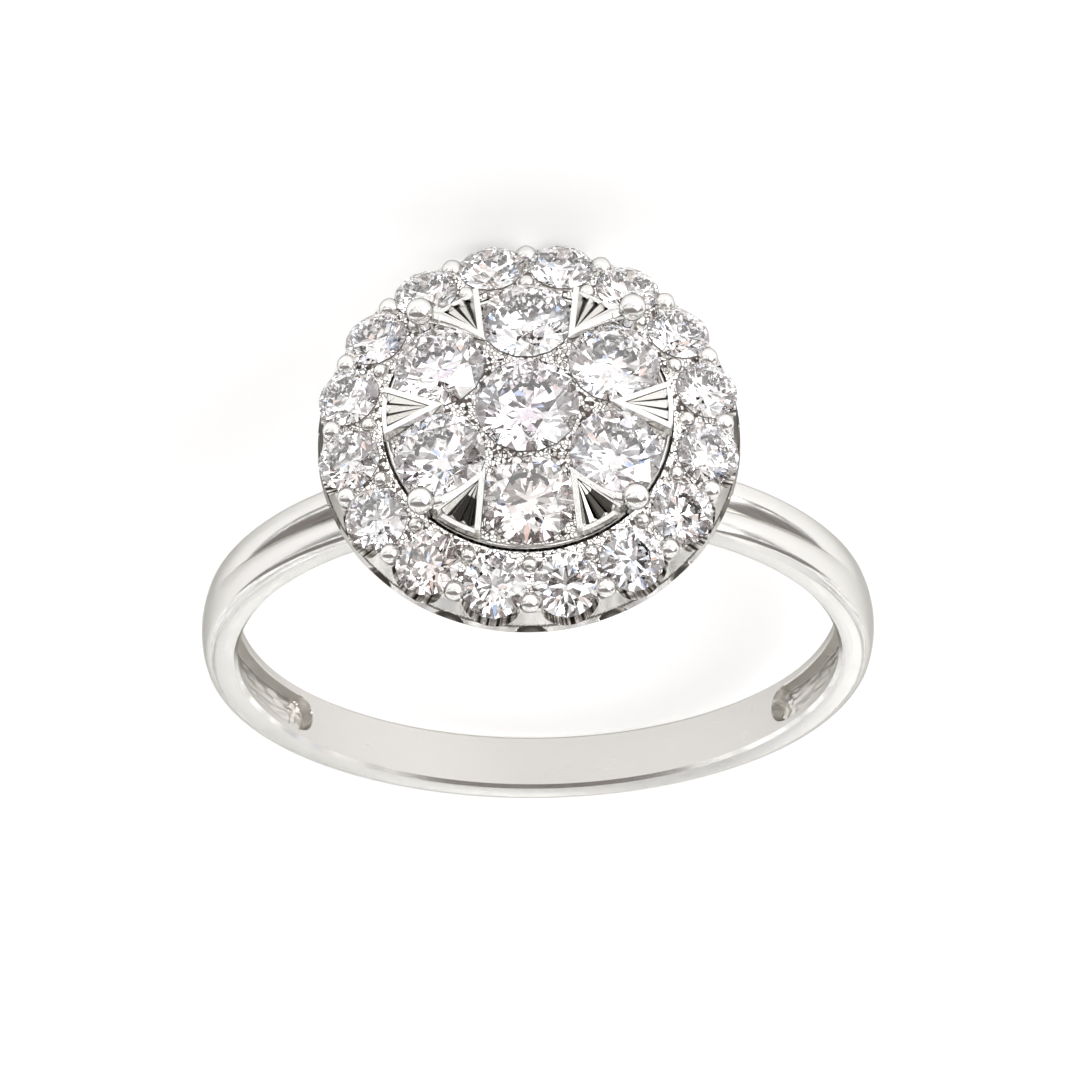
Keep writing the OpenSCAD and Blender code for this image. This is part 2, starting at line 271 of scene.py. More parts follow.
# Basket. A pierced cone of the same casting between the band and the halo, on a short upright
# foot, with eight round windows that let light in under the stones.
halo_z = 12.78
wall_bottom = halo_z - 1.05
plate_bottom = wall_bottom + 0.1
basket_low = 8.75
basket_foot = 9.35
basket_top = plate_bottom + 0.05
basket_low_r = 2.8
basket_high_r = 4.6
basket_t = 0.5
basket_count = 8
basket_window_r = 0.95
basket_window_z = 10.74
basket_points = 32
basket_foot_top = basket_foot + 0.03
basket_round = 0.05


def round_again(bm, count):
    """Repeats what is in the mesh round the head's upright axis."""
    bmesh.ops.spin(
        bm, geom=bm.verts[:] + bm.edges[:] + bm.faces[:], cent=(0, 0, 0), axis=(0, 0, 1),
        angle=math.tau * (count - 1) / count, steps=count - 1, use_duplicate=True)
    bmesh.ops.remove_doubles(bm, verts=bm.verts, dist=weld)


def thicken(bm, depth=0.0, inner_r=None):
    """Gives a skin round the head its thickness, or a round inside, towards the upright axis."""
    inner = bmesh.ops.extrude_face_region(bm, geom=bm.faces[:])["geom"]
    for v in (part for part in inner if isinstance(part, bmesh.types.BMVert)):
        r = math.hypot(v.co.x, v.co.y)
        share = (inner_r or r - depth) / r
        v.co.x *= share
        v.co.y *= share
    bmesh.ops.recalc_face_normals(bm, faces=bm.faces)


def soften(bm, width, sharper=50.0, segments=2):
    """Rounds every edge sharper than an angle, as tumbling and polishing do."""
    sharp = [e for e in bm.edges if e.is_manifold and e.calc_face_angle() > math.radians(sharper)]
    bmesh.ops.bevel(
        bm, geom=sharp, offset=width, offset_type="OFFSET", segments=segments, profile=0.5,
        affect="EDGES", clamp_overlap=True, material=-1)


def spun(bm, points, spot=Matrix(), steps=96, closed=True):
    """A profile of radius and height turned round an upright axis and put in its spot."""
    before = set(bm.verts)
    line = wire(bm, [(x, 0, z) for x, z in points], closed)
    bmesh.ops.spin(
        bm, geom=line, cent=(0, 0, 0), axis=(0, 0, 1), angle=math.tau, steps=steps, use_merge=True)
    bmesh.ops.transform(bm, matrix=spot, verts=[v for v in bm.verts if v not in before])


basket = bmesh.new()
window = bmesh.ops.create_circle(basket, segments=basket_points, radius=basket_window_r)["verts"]
edge = bmesh.ops.create_circle(basket, segments=basket_points, radius=1.0)["verts"]
middle_r = (basket_low_r + basket_high_r) / 2
middle_z = (basket_foot + basket_top) / 2
for v in edge:
    reach = max(abs(v.co.x), abs(v.co.y))
    v.co.x *= middle_r * math.pi / basket_count / reach
    v.co.y *= (basket_top - basket_foot) / 2 / reach
for v in window:
    v.co.y += basket_window_z - middle_z
rings = set(window), set(edge)
bmesh.ops.bridge_loops(basket, edges=basket.edges[:])
across = [e for e in basket.edges if (e.verts[0] in rings[0]) != (e.verts[1] in rings[0])]
bmesh.ops.subdivide_edges(basket, edges=across, cuts=2)
for v in basket.verts:
    angle = v.co.x / middle_r + math.pi / basket_count
    z = middle_z + v.co.y
    rise = (z - basket_foot) / (basket_top - basket_foot)
    r = basket_low_r + (basket_high_r - basket_low_r) * rise
    v.co = (r * math.cos(angle), r * math.sin(angle), z)
round_again(basket, basket_count)
thicken(basket, basket_t)
soften(basket, basket_round)
low_in = basket_low_r - basket_t
spun(basket, [(low_in, basket_low), (basket_low_r, basket_low),
              (basket_low_r, basket_foot_top), (low_in, basket_foot_top)])
gold_piece(basket, "basket", [polish])

# Halo wall. The pierced side of the head, cast in one with the rest: sixteen pillars carry the
# outer beads, each U between them is filed out under a halo stone, and a shallow arch is
# scooped out of the foot of each pillar.
halo_count = 16
wall_r = 5.85
wall_top = wall_bottom + 0.83
wall_lean = 0.2
wall_t = 0.3
stone_side = wall_r * math.pi / halo_count
window_r = 0.85
window_z = wall_bottom + 0.15 + window_r
window_start = 180 + math.degrees(math.asin((window_z - wall_top) / window_r))
pillar_half = stone_side + window_r * math.cos(math.radians(window_start))
pillar_share = 0.3
arch_r = 0.52
arch_z = wall_bottom - 0.21
arch_depth = 0.22
arch_share = 0.5
arch_side = 0.08
arch_lip = 0.05
under_arch = 0.95
rim_edge = 0.05
wall_round = 0.035
arch_end = math.degrees(math.asin((wall_bottom + rim_edge - arch_z) / arch_r))
wall_columns = 48
wall_rows = 12
arch_row = 3


def filed(name):
    """Gold left as the file and the graver cut it, with fine dark streaks towards the stone; their
    near-black is painted shade.
    """
    finish = Finish(bpy.data.materials.new(name))
    turn = finish.add("ShaderNodeAttribute", {"attribute_name": "turn"}, out="Fac")
    streak = finish.add("ShaderNodeTexNoise", {"noise_dimensions": "1D"}, {
        "W": turn * 42.0, "Scale": 1.0, "Detail": 2.0})
    colour = finish.add("ShaderNodeValToRGB", {"stops": [
        (0.38, (0.04, 0.037, 0.03, 1)), (0.47, (0.3, 0.28, 0.25, 1)),
        (0.53, (0.7, 0.68, 0.64, 1)), (0.62, (0.95, 0.94, 0.91, 1))]}, {"Fac": streak})
    finish.surface({
        "Base Color": colour, "Metallic": 1.0, "Roughness": 0.22,
        "Normal": finish.add("ShaderNodeBump", values={
            "Height": streak, "Strength": 0.5, "Distance": 0.00003})})
    return finish


# Filed gold whose streaks run down to near black: painted shade in the U cuts, on the cup's walls, on
# the plate's steep faces and on the small beads' posts.
filed_painted_shade = filed("filed_gold")
# a darker copy of the polished gold: painted shade over the halo wall
shaded_wall = metal("wall_gold", (0.72, 0.705, 0.675, 1), 0.16, 0.08)
# near-black gold on the scooped arch floors: painted shade
shaded_arch = metal("arch_gold", (0.2, 0.19, 0.17, 1), 0.22, 0.1)
# Painted shade: near-black gold laid on the fans' flute creases, two walls of the front fans and the
# halo's trench floor.
painted_shade_metal = metal("dark_cut_gold", (0.05, 0.047, 0.042, 1), 0.2, 0.1)


def along_window(t):
    """Half of a pillar's top, then the edge of the U beside it."""
    if t < pillar_share:
        return pillar_half * t / pillar_share, wall_top
    turn = math.radians(window_start + (270 - window_start) * (t - pillar_share) / (1 - pillar_share))
    return stone_side + window_r * math.cos(turn), window_z + window_r * math.sin(turn)


def along_arch(t):
    """Half of the arch, then a line just above the rim."""
    turn = math.radians(90 + (arch_end - 90) * min(1.0, t / arch_share))
    x = arch_r * math.cos(turn)
    beyond = max(0.0, t - arch_share) / (1 - arch_share)
    return x + (stone_side - x) * beyond, arch_z + arch_r * math.sin(turn)


def along_rim(t):
    """The lower rim, spaced as the arch above it is."""
    x = arch_r * math.cos(math.radians(arch_end))
    if t < arch_share:
        return x * t / arch_share, wall_bottom
    return x + (stone_side - x) * (t - arch_share) / (1 - arch_share), wall_bottom


wall = bmesh.new()
bmesh.ops.create_grid(wall, x_segments=wall_columns, y_segments=wall_rows, size=1)
for v in wall.verts:
    t = abs(v.co.x)
    row = round((v.co.y + 1) / 2 * wall_rows)
    deep = 0.0
    if row >= arch_row:
        low, high = along_arch(t), along_window(t)
        share = (row - arch_row) / (wall_rows - arch_row)
    else:
        low, high = along_rim(t), along_arch(t)
        share = under_arch * row / (arch_row - 1)
        scoop = arch_lip + (1 - arch_lip) * share
        deep = arch_depth * ease((arch_share - t) / arch_side) * scoop
    s = math.copysign(low[0] + (high[0] - low[0]) * share, v.co.x)
    z = low[1] + (high[1] - low[1]) * share
    r = wall_r - wall_lean * (z - wall_bottom) / (wall_top - wall_bottom) - deep
    v.co = (r * math.cos(s / wall_r), r * math.sin(s / wall_r), z)
round_again(wall, halo_count)
thicken(wall, inner_r=wall_r - wall_lean - wall_t)
wall_finishes = [shaded_wall, filed_painted_shade, shaded_arch]
window_low = wall_bottom + 0.1
window_high = wall_top - 0.02
arch_floor_r = wall_r - 0.05
# the filed sides of a U look along the wall and take streaks of painted shade, the scooped floor of an
# arch looks outwards
for face in wall.faces:
    spot = face.calc_center_median()
    flat = Vector((spot.x, spot.y, 0))
    outward = face.normal.dot(flat.normalized())
    if abs(outward) < 0.35 and window_low < spot.z < window_high:
        face.material_index = wall_finishes.index(filed_painted_shade)
    elif outward > 0.5 and flat.length < arch_floor_r and spot.z < arch_z + arch_r:
        face.material_index = wall_finishes.index(shaded_arch)
soften(wall, wall_round)


def mark_turn(piece):
    """Keeps each corner's direction round the head's axis, for the streaks."""
    turn = piece.data.attributes.new("turn", "FLOAT", "POINT")
    back = lay.inverted()
    for v in piece.data.vertices:
        spot = back @ v.co
        turn.data[v.index].value = math.atan2(spot.y, spot.x)


mark_turn(gold_piece(wall, "halo_wall", wall_finishes, 35.0))

# Seat plate. The floor of the halo, drilled and cut with a cone under each of its sixteen
# stones. It is one casting with the wall.
halo_r = 5.03
halo_d = 1.8
halo_lean = math.radians(20)
seat_gap = 0.03
seat_high = 1.5
drill_deep = 3
girdle_share = 0.03
pavilion_share = 0.43
crown_share = 0.15
table_share = 0.56
cup_r = 3.95
trench_r = cup_r + 0.07
trench_deep = 0.12
stone_cover = 0.15
trench_top = halo_z + (halo_r - trench_r) * math.tan(halo_lean) - stone_cover
plate_in_r = cup_r - 0.1
halo_drill = 0.3


def leaning(x, y, z, turn, lean):
    """The spot of a thing made at zero that leans outwards at its place round the head."""
    return (Matrix.Translation((x, y, z)) @ Matrix.Rotation(turn, 4, "Z")
            @ Matrix.Rotation(lean, 4, "Y"))


def seat(bm, d, spot, drill):
    """The space of one stone: a cone under its girdle, a straight side and a drilled hole."""
    r = d / 2 + seat_gap
    deep = d * pavilion_share + seat_gap
    half_girdle = d * girdle_share / 2 + seat_gap
    points = [(0, -deep - drill_deep), (drill, -deep - drill_deep), (drill, drill / r * deep - deep),
              (r, -half_girdle), (r, seat_high), (0, seat_high)]
    spun(bm, points, spot, 32)
    bmesh.ops.remove_doubles(bm, verts=bm.verts, dist=weld)
    for face in bm.faces:
        face.material_index = SEAT


def cut_out(bm, spaces):
    """Takes spaces out of a piece and gives back the piece."""
    pair = []
    for part in (bm, spaces):
        bmesh.ops.remove_doubles(part, verts=part.verts, dist=weld)
        bmesh.ops.recalc_face_normals(part, faces=part.faces)
        mesh = bpy.data.meshes.new("cut")
        for finish in cut_finishes:
            mesh.materials.append(finish.holder)
        part.to_mesh(mesh)
        part.free()
        pair.append(bpy.data.objects.new("cut", mesh))
        bpy.context.scene.collection.objects.link(pair[-1])
    cut = pair[0].modifiers.new("cut", "BOOLEAN")
    cut.object = pair[1]
    cut.operation = "DIFFERENCE"
    cut.solver = "EXACT"
    shown = pair[0].evaluated_get(bpy.context.evaluated_depsgraph_get())
    result = bmesh.new()
    result.from_mesh(shown.to_mesh())
    shown.to_mesh_clear()
    for part in pair:
        mesh = part.data
        bpy.data.objects.remove(part)
        bpy.data.meshes.remove(mesh)
    return result


# painted shade for the fine lines between the small facets
painted_line_shade = (0.05, 0.042, 0.036, 1)
# sockets of a colour Mix node
factor, first, second, mixed = 0, 6, 7, 2


def burred(name, size, stops, painted_glow, line):
    """Gold cut with a burr, in small facets with fine lines of painted shade between them. Under a stone
    they give off painted light, an emission standing in for the light the stone gathers.
    """
    finish = Finish(bpy.data.materials.new(name))
    place = finish.add("ShaderNodeTexCoord", out="Object")
    cells = {"Vector": place, "Scale": size}
    marks = finish.add("ShaderNodeTexVoronoi", values=cells, out="Color")
    edge = finish.add("ShaderNodeTexVoronoi", {"feature": "DISTANCE_TO_EDGE"}, cells)
    tone = finish.add("ShaderNodeValToRGB", {"bands": "CONSTANT", "stops": stops}, {"Fac": marks})
    cover = finish.add("ShaderNodeMapRange", values={
        "Value": edge, "From Min": line / 2, "From Max": line})
    colour = finish.add("ShaderNodeMix", {"data_type": "RGBA"}, {
        factor: cover, first: painted_line_shade, second: tone}, out=mixed)
    finish.surface({
        "Base Color": colour, "Metallic": 1.0, "Roughness": 0.25, "Emission Color": colour,
        "Emission Strength": painted_glow,
        "Normal": finish.add("ShaderNodeBump", values={
            "Height": edge, "Strength": 0.9, "Distance": 0.00004})})
    return finish


# Both give off painted light by emission: the seats under the stones and the deck.
seat_gold = burred("seat_gold", 7500.0, [
    (0.0, (0.2, 0.15, 0.13, 1)), (0.33, (0.7, 0.62, 0.58, 1)), (0.46, (1, 0.97, 0.95, 1))],
    painted_glow=0.3, line=0.04)
deck_gold = burred("deck_gold", 9000.0, [
    (0.0, (0.12, 0.1, 0.09, 1)), (0.22, (0.55, 0.52, 0.49, 1)), (0.34, (0.88, 0.86, 0.83, 1)),
    (0.48, (1, 0.99, 0.98, 1))], painted_glow=0.75, line=0.1)
# kinds of face in a cut piece
POLISHED, FILED_PAINTED_SHADE, SEAT, DECK, SHADE_PAINTED = range(5)
cut_finishes = [polish, filed_painted_shade, seat_gold, deck_gold, painted_shade_metal]


def ring_of(count, start, r):
    """Places round the head, with their directions in radians."""
    turns = [start + math.tau * i / count for i in range(count)]
    return [(r * math.cos(a), r * math.sin(a), a) for a in turns]


plate = bmesh.new()
web = trench_top - trench_deep
back = wall_r - wall_t + 0.02
spun(plate, [(plate_in_r, plate_bottom), (back, plate_bottom), (back - wall_lean, wall_top - 0.02),
             (trench_r, trench_top), (trench_r, web), (plate_in_r, web)], steps=128)
# the underside is polished, steep faces take the filed streaks, the trench floor beside the cup is
# painted dark as shade and the rest is the deck
for face in plate.faces:
    face.normal_update()
    spot = face.calc_center_median()
    if spot.z < plate_bottom + weld:
        face.material_index = POLISHED
    elif abs(face.normal.z) < 0.5:
        face.material_index = FILED_PAINTED_SHADE
    else:
        face.material_index = SHADE_PAINTED if math.hypot(spot.x, spot.y) < trench_r + 0.01 else DECK
seats = bmesh.new()
for x, y, a in ring_of(halo_count, math.pi / halo_count, halo_r):
    seat(seats, halo_d, leaning(x, y, halo_z, a, halo_lean), halo_drill)
mark_turn(gold_piece(cut_out(plate, seats), "seat_plate", cut_finishes))

# Small beads. Two rings of grains raised with the graver and rounded with a cup tool, one
# outside and one inside, each shared by the two halo stones beside it.
outer_bead_circle = 5.39
outer_bead_r = 0.29
outer_bead_z = wall_top + 0.1
inner_bead_circle = 4.37
inner_bead_r = 0.23
inner_bead_z = halo_z + 0.17
post_r = 0.2
post_flare = 0.29
post_shoulder = wall_top - 0.2
post_neck = wall_top - 0.06
bead_low = wall_top - 0.03


def rod(bm, path, segments=20):
    """A round rod through a path of places and radii."""
    rims = []
    for i, (place, r) in enumerate(path):
        way = Vector(path[min(i + 1, len(path) - 1)][0]) - Vector(path[max(i - 1, 0)][0])
        spot = Matrix.Translation(place) @ way.to_track_quat("Z", "Y").to_matrix().to_4x4()
        rim = bmesh.ops.create_circle(
            bm, cap_ends=i in (0, len(path) - 1), segments=segments, radius=r, matrix=spot)
        rims.append(list({e for v in rim["verts"] for e in v.link_edges}))
    for first, second in zip(rims, rims[1:]):
        bmesh.ops.bridge_loops(bm, edges=first + second)


small_beads = bmesh.new()
rod(small_beads, [((outer_bead_circle, 0, plate_bottom + 0.1), post_flare),
                  ((outer_bead_circle, 0, post_shoulder), post_flare),
                  ((outer_bead_circle, 0, post_neck), post_r),
                  ((outer_bead_circle, 0, outer_bead_z), post_r)])
for x, z, r in ((outer_bead_circle, outer_bead_z, outer_bead_r),
                (inner_bead_circle, inner_bead_z, inner_bead_r)):
    bmesh.ops.create_uvsphere(
        small_beads, u_segments=28, v_segments=16, radius=r, matrix=Matrix.Translation((x, 0, z)))
# the posts under the beads take the filed streaks, dark with painted shade
for face in small_beads.faces:
    if face.calc_center_median().z < bead_low:
        face.material_index = 1
round_again(small_beads, halo_count)
mark_turn(gold_piece(small_beads, "small_beads", [polish, filed_painted_shade]))

# Cup. The round gallery that lifts the cluster above the halo: a thin bright rim, a recessed
# deck cut for the seven stones and a small collet under the middle one.
cluster_count = 6
cluster_z = 13.7
cluster_r = 2.77
cluster_d = 2.55
cluster_lean = math.radians(10)
centre_z = 13.97
centre_d = 2.9
cup_wall = 0.13
cup_floor = plate_bottom - 0.05
cup_deck = cluster_z - 0.88
cup_rim = cluster_z - 0.6
cluster_drill = 0.35
centre_drill = 0.4
collet_r = 0.85
collet_top = centre_z - 0.75

cup = bmesh.new()
rim = arc((cup_r - cup_wall / 2, cup_rim - cup_wall / 2), cup_wall / 2, 0, 180, 6)
spun(cup, [(0, cup_floor), (cup_r, cup_floor)] + rim
     + [(cup_r - cup_wall, cup_deck), (collet_r, cup_deck), (collet_r, collet_top), (0, collet_top)],
     steps=128, closed=False)
# the cup's walls take the filed streaks with painted shade, and its deck the painted light of the deck
# finish
for face in cup.faces:
    face.normal_update()
    spot = face.calc_center_median()
    if cup_floor + weld < spot.z < cup_rim - cup_wall / 2:
        face.material_index = DECK if abs(face.normal.z) > 0.9 else FILED_PAINTED_SHADE
seats = bmesh.new()
for x, y, a in ring_of(cluster_count, math.pi / cluster_count, cluster_r):
    seat(seats, cluster_d, leaning(x, y, cluster_z, a, cluster_lean), cluster_drill)
seat(seats, centre_d, leaning(0, 0, centre_z, 0, 0), centre_drill)
mark_turn(gold_piece(cut_out(cup, seats), "cluster_cup", cut_finishes))

# Fans. Six fluted claws fill the gaps of the cluster. Each is cut bright with a graver: a flat
# raised border round three V flutes that open outwards to a low lip, on a plain post.
fan_tip = 2.3
fan_end = 4.0
fan_half = math.tan(math.radians(24.5))
fan_border = 0.16
fan_apex = fan_tip + fan_border / math.sin(math.atan(fan_half))
fan_high = 14.15
fan_slope = math.tan(math.radians(10))
flute_deep = 0.3
flute_start = 0.06
lip_w = 0.12
lip_drop = 0.25
# columns across a fan: place between its sides, the drop of a flute and what each belongs to
fan_columns = [
    (-1, 0, "foot"), (-1, 0, "edge"), (-1, 0, "border"), (-1, flute_start, "flute"),
    (-0.71, flute_deep, "flute"), (-0.59, flute_deep, "flute"), (-0.33, 0.07, "flute"),
    (-0.06, flute_deep, "flute"), (0.06, flute_deep, "flute"), (0.33, 0.07, "flute"),
    (0.59, flute_deep, "flute"), (0.71, flute_deep, "flute"), (1, flute_start, "flute"),
    (1, 0, "border"), (1, 0, "edge"), (1, 0, "foot")]
# a dark line is painted beside each border and along the bottom of each flute, as painted shade in the
# creases
painted_shade_columns = {2, 4, 7, 10, 12}
painted_shade_rows = 3
# walls painted dark as shade on the two front fans
shaded_columns = {6, 9}
shaded_row = 1
front_fans_y = -1.5
# kinds of face in a fan, until the shade is settled
BRIGHT, PAINTED_SHADE_FACE, SHADED = range(3)
# rows along a fan, each with the share of the flutes' depth reached there
fan_rows = [(fan_tip, 0), (3.15, 0.4), (fan_end - lip_w - 0.02, 1), (fan_end - lip_w, 1),
            (fan_end, 1), (fan_end, 1)]


def fan_foot(x):
    """Height of the underside, which follows the crowns of the stones beside it."""
    return 13.77 - 0.42 * max(0.0, x - fan_rows[1][0]) / (fan_end - fan_rows[1][0])


fans = bmesh.new()
last_column = len(fan_columns) - 1
last_row = len(fan_rows) - 1
bmesh.ops.create_grid(fans, x_segments=last_column, y_segments=last_row, size=1)
for face in fans.faces:
    middle = face.calc_center_median()
    column = math.floor((middle.x + 1) / 2 * last_column)
    row = math.floor((middle.y + 1) / 2 * last_row)
    if column in painted_shade_columns and row < painted_shade_rows:
        face.material_index = PAINTED_SHADE_FACE
    elif column in shaded_columns and row == shaded_row:
        face.material_index = SHADED
for v in fans.verts:
    column = round((v.co.x + 1) / 2 * last_column)
    row = round((v.co.y + 1) / 2 * last_row)
    side, drop, part = fan_columns[column]
    start = fan_tip if part in ("foot", "edge") else fan_apex
    reach, depth = fan_rows[row]
    x = start if row == 0 else reach
    # each pass brings the corner closer to where its side meets the round row
    for _ in range(4):
        y = side * (x - start) * fan_half
        if row > 0:
            x = math.sqrt(reach ** 2 - y ** 2)
    z = fan_high - (x - fan_tip) * fan_slope
    if part == "foot" or row == last_row:
        z = fan_foot(x)
    elif part == "flute":
        z -= flute_start + (drop - flute_start) * depth if row < last_row - 2 else lip_drop
    v.co = (x, y, z)
bmesh.ops.remove_doubles(fans, verts=fans.verts, dist=weld)
bmesh.ops.holes_fill(fans, edges=[e for e in fans.edges if e.is_boundary], sides=0)
post_half = math.tan(math.radians(21.5))
post_tip = 2.42
post_end = 3.93
post_side = 3.86
post_low = cup_deck - 0.1
post_overlap = 0.06
plan = [(post_tip, 0)]
for share in (-1, -0.5, 0, 0.5, 1):
    y = share * (post_side - post_tip) * post_half
    plan.append((math.sqrt(post_end ** 2 - y ** 2), y))
post = fans.faces.new([fans.verts.new((x, y, post_low)) for x, y in plan])
raised = bmesh.ops.extrude_face_region(fans, geom=[post])["geom"]
for v in (part for part in raised if isinstance(part, bmesh.types.BMVert)):
    v.co.z = fan_foot(v.co.x) + post_overlap
round_again(fans, cluster_count)
# the two front fans keep the painted shade on those walls, the others stay bright
for face in fans.faces:
    if face.material_index == SHADED:
        face.material_index = PAINTED_SHADE_FACE if face.calc_center_median().y < front_fans_y else BRIGHT
gold_piece(fans, "fluted_fans", [polish, painted_shade_metal], 12.0)

# Four big beads. Round grains on their own posts outside the cluster, each tied by a short
# rounded arm to the border of the nearest fan.
big_bead_circle = 4.15
big_bead_r = 0.38
big_bead_z = centre_z + 0.11
big_post_circle = 3.68
big_post_r = 0.24
arm_sink = 0.04
# path of an arm from the border of its fan: radius, degrees off the fan, drop and thickness
arm_path = [(2.62, 2.2, 0.02, 0.05), (2.9, 4.2, 0.04, 0.09), (3.3, 7.0, 0.06, 0.13),
            (3.62, 9.6, 0.05, 0.16), (3.68, 10.2, 0.04, 0.19), (3.74, 10.8, 0.03, 0.17),
            (4.0, 13.6, -0.04, 0.18)]


def polar(r, turn, z):
    """A place round the head."""
    return Vector((r * math.cos(turn), r * math.sin(turn), z))


claws = bmesh.new()
for x, y, a in ring_of(4, math.pi / 4, big_bead_circle):
    bmesh.ops.create_uvsphere(
        claws, u_segments=40, v_segments=24, radius=big_bead_r,
        matrix=Matrix.Translation((x, y, big_bead_z)))
    foot = polar(big_post_circle, a, post_low)
    rod(claws, [(foot, big_post_r), (Vector((x, y, big_bead_z - 0.1)), big_post_r)])
    fan_turn = math.copysign(math.pi / 3 if x > 0 else math.tau / 3, y)
    side = math.copysign(1.0, math.sin(a - fan_turn))
    arm = []
    for r, off, drop, thick in arm_path:
        z = fan_high - (r - fan_tip) * fan_slope - drop - arm_sink
        arm.append((polar(r, fan_turn + side * math.radians(off), z), thick))
    rod(claws, arm)
gold_piece(claws, "big_beads", [polish])

# Stones. Twenty-three round brilliants, cut with a table, stars, kites, halves and a sharp
# culet: one in the middle, six round it and sixteen in the halo. The girdles are left matt.
star_share = 0.5
lower_share = 0.77
facet_count = 8


def brilliant_finish():
    """Clear colourless stone. A few facets are tinted a faint blue or warm colour, as painted flashes of
    fire.
    """
    finish = Finish(bpy.data.materials.new("clear_brilliant"))
    tint = finish.add("ShaderNodeAttribute", {"attribute_name": "flash"}, out="Fac")
    colour = finish.add("ShaderNodeValToRGB", {"bands": "CONSTANT", "stops": [
        (0.0, (0.92, 0.91, 0.91, 1)), (0.74, (0.8, 0.87, 0.97, 1)), (0.84, (0.96, 0.84, 0.8, 1)),
        (0.94, (0.88, 0.79, 0.86, 1))]}, {"Fac": tint})
    finish.surface({
        "Base Color": colour, "Roughness": 0.0, "IOR": 2.42, "Transmission Weight": 1.0})
    return finish


brilliant_clear = brilliant_finish()
bruted = Finish(bpy.data.materials.new("bruted_girdle"))
bruted.surface({"Base Color": (0.16, 0.155, 0.15, 1), "Roughness": 0.6})
chance = random.Random(7)


def brilliant(name, d, spot):
    """One cut stone, with its girdle's middle in its spot."""
    r = d / 2
    step = math.pi / facet_count
    half_girdle = d * girdle_share / 2
    crown = d * crown_share
    table = r * table_share
    star = table * math.cos(step) + star_share * (r - table * math.cos(step))
    star_z = half_girdle + crown * (r - star * math.cos(step)) / (r - table)
    low = r * (1 - lower_share)
    low_z = -half_girdle - (d * pavilion_share - half_girdle) * (1 - low * math.cos(step) / r)
    stone = bmesh.new()
    for count, radius, z, shift in (
            (facet_count, table, half_girdle + crown, 0), (facet_count, star, star_z, step),
            (2 * facet_count, r, half_girdle, 0), (2 * facet_count, r, -half_girdle, 0),
            (facet_count, low, low_z, step)):
        level = Matrix.Translation((0, 0, z)) @ Matrix.Rotation(shift, 4, "Z")
        bmesh.ops.create_circle(stone, segments=count, radius=radius, matrix=level)
    stone.verts.new((0, 0, -d * pavilion_share))
    bmesh.ops.convex_hull(stone, input=stone.verts[:])
    loose = [e for e in stone.edges if not e.link_faces]
    bmesh.ops.delete(stone, geom=loose, context="EDGES")
    bmesh.ops.dissolve_limit(
        stone, angle_limit=math.radians(0.5), verts=stone.verts, edges=stone.edges)
    for face in stone.faces:
        face.normal_update()
        if abs(face.normal.z) < 0.1:
            face.material_index = 1
    tip = Matrix.Rotation(math.radians(chance.uniform(-1, 1)), 4, "X")
    turned = Matrix.Rotation(chance.uniform(-0.3, 0.3), 4, "Z")
    bmesh.ops.transform(stone, matrix=spot @ tip @ turned, verts=stone.verts)
    piece = finish_piece(stone, "cut_" + name, [brilliant_clear, bruted], 0.5)
    piece.data.shade_flat()
    flash = piece.data.attributes.new("flash", "FLOAT", "FACE")
    for facet in flash.data:
        facet.value = chance.random()
    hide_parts(name)


brilliant("centre_stone", centre_d, leaning(0, 0, centre_z, 0, 0))
front = -math.pi / 2
for i, (x, y, a) in enumerate(ring_of(cluster_count, front, cluster_r)):
    brilliant("cluster_stone_%d" % (i + 1), cluster_d, leaning(x, y, cluster_z, a, cluster_lean))
for i, (x, y, a) in enumerate(ring_of(halo_count, front + math.pi / halo_count, halo_r)):
    brilliant("halo_stone_%d" % (i + 1), halo_d, leaning(x, y, halo_z, a, halo_lean))

# Floor. A plain white light table that the ring lies on. It is faintly lit from below, so the
# background stays white and only a soft shadow is left.
floor_half = 0.6
white = Finish(bpy.data.materials.new("white_table"))
white.surface({
    "Base Color": (0.96, 0.96, 0.96, 1), "Roughness": 0.7, "Emission Color": (1, 1, 1, 1),
    "Emission Strength": 0.35})
floor = bmesh.new()
bmesh.ops.create_grid(floor, x_segments=1, y_segments=1, size=floor_half)
floor_mesh = bpy.data.meshes.new("table_top")
floor.to_mesh(floor_mesh)
floor.free()
floor_mesh.materials.append(white.holder)
table_top = bpy.data.objects.new("table_top", floor_mesh)
bpy.context.scene.collection.objects.link(table_top)

# Camera. At the photograph's angle to the ring, above the front edge of the halo, and far away
# behind a long lens. Its place is given in the upright ring's millimetres.
camera_rise = math.radians(63.0)
camera_turn = math.radians(-1.75)
camera_roll = math.radians(2.65)
camera_far = 254.0
lens_px = 9000.0
frame_px = 1080.0
sensor = 36.0
aim = Vector((0.18, 0.0, 5.81))
away = Vector((0, -math.cos(camera_rise), math.sin(camera_rise)))
up = Vector((0, math.sin(camera_rise), math.cos(camera_rise)))
right = Vector((1, 0, 0))
roll = Matrix.Rotation(-camera_roll, 3, away)
turn = Matrix.Rotation(-camera_turn, 3, "Z")
look = Matrix([turn @ (roll @ right), turn @ (roll @ up), turn @ away]).transposed()
placed = lay @ Matrix.LocRotScale(turn @ (aim + away * camera_far), look, None)
camera_data = bpy.data.cameras.new("camera")
camera_data.sensor_width = sensor
camera_data.lens = lens_px * sensor / frame_px
camera_data.clip_start = 0.01
camera_data.clip_end = 5.0
camera = bpy.data.objects.new("camera", camera_data)
camera.matrix_world = Matrix.LocRotScale(
    placed.translation, placed.to_3x3().normalized().to_quaternion(), None)
bpy.context.scene.collection.objects.link(camera)
bpy.context.scene.camera = camera

